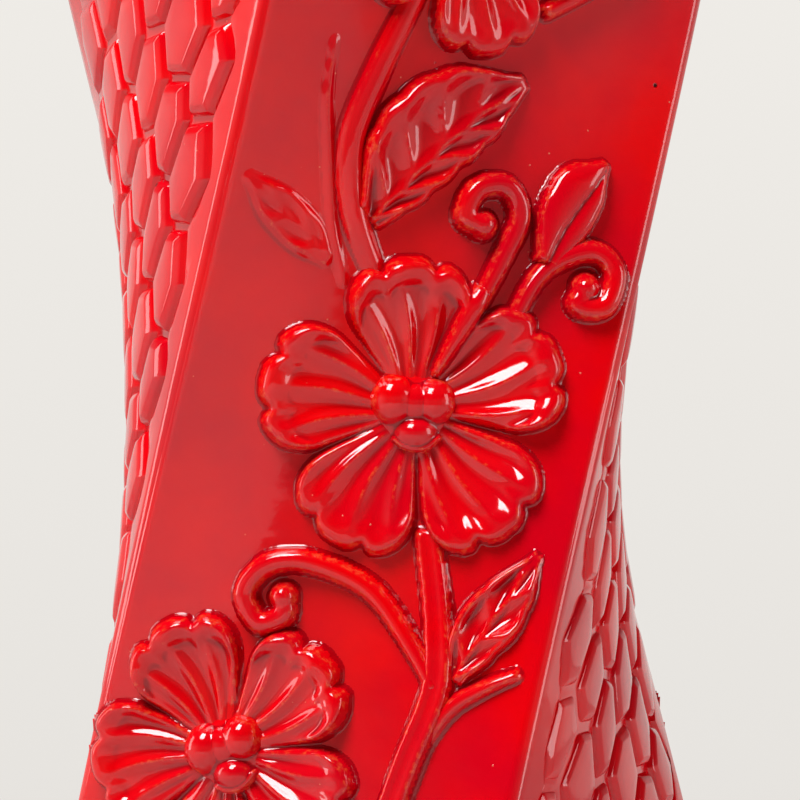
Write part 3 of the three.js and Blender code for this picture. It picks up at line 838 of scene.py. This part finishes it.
def leaf(node, path, widths, height=3.0, teeth=6, veins=5):
    """A leaf: a toothed blade with a midrib, side veins that lean to the tip, and a rolled margin."""
    place = between(*blade(path, widths, teeth))

    def rise(across, far):
        side = np.abs(across)
        field = np.sin(math.pi * np.clip(side / 0.9, 0, 1)) ** 0.7 * np.clip((1 - far) * 5, 0, 1)
        ribs = crests(veins * (far - 0.2 * side) + 0.5 * (across < 0))
        margin = np.exp(-((side - 0.82) / 0.15) ** 2) * (0.12 + 0.42 * (across < 0))
        midrib = np.exp(-(side / 0.09) ** 2) * 0.28
        share = 0.62 + 0.2 * side + (0.62 * ribs - 0.3) * field + margin + midrib
        tip = 0.45 + 0.55 * np.clip(6 * (1 - far), 0, 1)
        return height * share * rounded((side - 0.88) / 0.12) * tip

    skin = relief(LEAF_COLUMNS, LEAF_STEPS, place, rise)
    glaze_over(node, [skin], pitch=0.42, soften=5 if height > LOW_RELIEF else 14)


def bud(node, path, widths, height=4.2):
    """A bud: two swelling lobes pressed together along a valley, one over the other."""
    place = between(*blade(path, widths, 0, depth=0))

    def rise(across, far):
        valley = -0.15 + 0.5 * far
        lobe = np.where(across < valley, (across + 1) / (valley + 1), (1 - across) / (1 - valley))
        swelling = 0.45 + 0.6 * np.sqrt(np.clip(1 - (2 * lobe - 1.15) ** 2 / 1.33, 0, 1))
        swelling = swelling * np.where(across < valley, 1.0, 0.8)
        return height * swelling * (0.4 + 0.6 * np.sqrt(np.clip(3 * (1 - far), 0, 1)))

    glaze_over(node, [relief(LEAF_COLUMNS, LEAF_STEPS, place, rise)], pitch=0.4, soften=5)


# ---- The vine, in millimetres across and up from the middle of the waist ----

FLOWERS = {
    "foot_flower": ((16, -130), 26, 60),
    "low_flower": ((-16, -65), 30, 42),
    "waist_flower": ((5, 4), 31.5, 22),
    "high_flower": ((-7, 104), 29, 59),
}


def lay_the_vine():
    for node, (at, radius, spin) in FLOWERS.items():
        fold = spin + 38 if node == "waist_flower" else None
        flower(node, at, radius, spin, fold)
        boss(node, at, math.radians(spin - 22))
    stem("low_stem", [(14, -20), (22, -40), (25, -52), (23.5, -66), (22, -80), (18, -94), (15, -108)],
         [2.4, 2.8, 2.8, 2.8, 2.6], 3.0, fluted=True)
    stem("side_stem", [(24, -66), (28.5, -56), (34.5, -51.5), (41, -48.5)], [2, 1.8, 1.2], 2.4)
    stem("main_stem", [(-9, 30), (-18, 44), (-22.5, 58), (-21, 72), (-17, 88)], [2.6, 3, 3, 2.6], 3.0)
    stem("thin_stem", [(-15.5, 29), (-21, 40), (-26, 54), (-30, 66), (-32, 78)], [1.2, 1.4, 0.5], 1.1)
    tendril("low_tendril", [(25, -52), (18.3, -44), (6, -32), (-8, -26.4), (-16.5, -27),
                            (-19.7, -32.4), (-15.5, -38.4), (-10.5, -37), (-11.5, -33.4)])
    tendril("waist_tendril", [(12, 23), (15, 34), (16.8, 43), (12.5, 49), (6.5, 48.5), (5.3, 43),
                              (9.5, 41.2)])
    tendril("right_tendril", [(20, 21), (24.3, 32), (33, 36), (39, 32), (38.5, 25), (33, 25),
                              (33.8, 28.6)])
    tendril("foot_tendril", [(18, -92), (8, -97), (-4, -98.5), (-14, -103), (-18, -112), (-12, -117),
                             (-8.5, -111)])
    tendril("high_tendril", [(12, 84), (22, 90), (31, 98), (36, 107), (33, 114.5), (27, 113),
                             (28, 107.5)])
    leaf("big_leaf", [(-14, 42), (-9, 49), (-3, 57), (4, 64), (12, 70)],
         [(3, 2), (13, 5), (15, 6), (12, 6), (0.6, 0.6)])
    leaf("faint_leaf", [(-20, 34), (-26, 39), (-34, 45), (-42, 51)], [(1,), (4.5,), (4.5,), (0.5,)],
         height=1.4, teeth=0, veins=3)
    leaf("lobed_leaf", [(28, -50), (31, -42), (34.5, -34), (38, -25)],
         [(1.5,), (7, 5), (6, 5.5), (0.6,)], teeth=3, veins=3)
    leaf("foot_left_leaf", [(-22, -104), (-28, -112), (-34, -119), (-42, -123)],
         [(1.5,), (8,), (8,), (0.6,)])
    leaf("foot_low_leaf", [(-9, -128), (-17, -134), (-25, -139), (-36, -142)],
         [(1.5,), (7.5,), (8,), (0.6,)])
    leaf("mouth_left_leaf", [(-12, 134), (-20, 140), (-28, 144), (-38, 145)],
         [(1.5,), (7,), (7,), (0.6,)])
    leaf("mouth_right_leaf", [(6, 134), (15, 139), (24, 141), (35, 139)],
         [(1.5,), (7,), (7,), (0.6,)])
    bud("waist_bud", [(24.6, 33), (26.8, 42), (29.5, 49), (33, 54)], [(2.5,), (7, 5.5), (7, 5), (0.6,)])
    bud("mouth_bud", [(-4, 134), (-4, 140), (-3, 147), (-2, 154)], [(1.8,), (4.5,), (4,), (0.6,)])


# ---- The studio ----

FACING = HALF_TURN
CAMERA_AWAY = 0.9
EYE_LEVEL = WAIST_HEIGHT * MM
BEHIND_THE_CAMERA = 0.25


def toward(azimuth, elevation, distance, level=EYE_LEVEL):
    """A place round the vase: azimuth from the camera's side, to the right, in degrees."""
    angle = FACING + math.radians(azimuth)
    lift = math.radians(elevation)
    flat = distance * math.cos(lift)
    return flat * math.sin(angle), -flat * math.cos(angle), level + distance * math.sin(lift)


def aim(thing, at=(0, 0, EYE_LEVEL)):
    way = Vector(at) - thing.location
    thing.rotation_euler = way.to_track_quat("-Z", "Y").to_euler()


def softbox(name, azimuth, elevation, distance, width, height, power):
    clear_hands()
    bpy.ops.object.light_add(type="AREA", location=toward(azimuth, elevation, distance))
    lamp = bpy.context.object
    lamp.name = lamp.data.name = name
    lamp.data.shape = "RECTANGLE"
    lamp.data.size, lamp.data.size_y = width, height
    lamp.data.energy = power
    aim(lamp)


def studio():
    clear_hands()
    bpy.ops.mesh.primitive_circle_add(vertices=96, radius=0.85, fill_type="NGON", location=(0, 0, 0))
    floor = bpy.context.object
    floor.name = "studio_floor"
    floor.data.materials.append(floor_cloth())
    softbox("key_softbox", -34, 56, 1.3, 0.5, 0.65, 21)
    softbox("side_softbox", 75, 12, 1.5, 0.5, 1.0, 6)
    softbox("left_softbox", -95, 15, 1.5, 0.4, 1.1, 6)
    studio_air()


def studio_air():
    """Pale neutral air all round, darker overhead and dimmer on the side the camera stands."""
    world = bpy.data.worlds.new("studio_air")
    bpy.context.scene.world = world
    world.use_nodes = True
    nodes, links = world.node_tree.nodes, world.node_tree.links
    direction = nodes.new("ShaderNodeTexCoord").outputs["Generated"]

    def share_of(way, low, high):
        dot = nodes.new("ShaderNodeVectorMath")
        dot.operation = "DOT_PRODUCT"
        links.new(direction, dot.inputs[0])
        dot.inputs[1].default_value = way
        ramp = nodes.new("ShaderNodeMapRange")
        ramp.inputs["From Min"].default_value = low
        ramp.inputs["From Max"].default_value = high
        links.new(dot.outputs["Value"], ramp.inputs["Value"])
        return ramp.outputs["Result"]

    air = nodes.new("ShaderNodeValToRGB")
    links.new(share_of((0, 0, 1), -1, 1), air.inputs["Fac"])
    stops = ((0.0, (0.55, 0.53, 0.50)), (0.42, (0.74, 0.715, 0.68)), (0.46, (0.80, 0.775, 0.74)),
             (0.56, (0.865, 0.84, 0.80)), (0.64, (0.30, 0.295, 0.29)), (0.72, (0.05, 0.05, 0.05)))
    elements = air.color_ramp.elements
    while len(elements) < len(stops):
        elements.new(0.5)
    for element, (where, colour) in zip(elements, stops):
        element.position = where
        element.color = (*colour, 1)
    dimmer = nodes.new("ShaderNodeMapRange")
    dimmer.inputs["To Min"].default_value = 1.0
    dimmer.inputs["To Max"].default_value = BEHIND_THE_CAMERA
    links.new(share_of((math.sin(FACING), -math.cos(FACING), 0), 0.3, 0.8), dimmer.inputs["Value"])
    links.new(air.outputs["Color"], nodes["Background"].inputs["Color"])
    links.new(dimmer.outputs["Result"], nodes["Background"].inputs["Strength"])


def camera():
    clear_hands()
    bpy.ops.object.camera_add(location=toward(0, 0, CAMERA_AWAY))
    eye = bpy.context.object
    aim(eye)
    eye.rotation_euler.rotate_axis("Z", -0.0073)
    eye.data.lens = 191.3
    eye.data.sensor_width = 36
    eye.data.shift_x = 0.0206
    eye.data.shift_y = 0.0381
    eye.data.clip_start = 0.01
    bpy.context.scene.camera = eye
    bpy.context.scene.view_settings.view_transform = "Standard"


camera()
studio()
for wall in (0, 2):
    smooth_wall(wall)
for wall in (1, 3):
    plated_wall(wall)
square_ring("foot_ring", FOOT_SIDE, FOOT_WALL, 0, FOOT_BAND, 0, 0.9, CLAY, "bare_foot")
square_ring("rim_band", MOUTH_SIDE, RIM_WALL, RIM_BOTTOM, HEIGHT, HEIGHT, 2.6, GLAZE, "red_glaze",
            2 * HALF_TURN)
floor_slab()
lay_the_vine()

clear_hands()
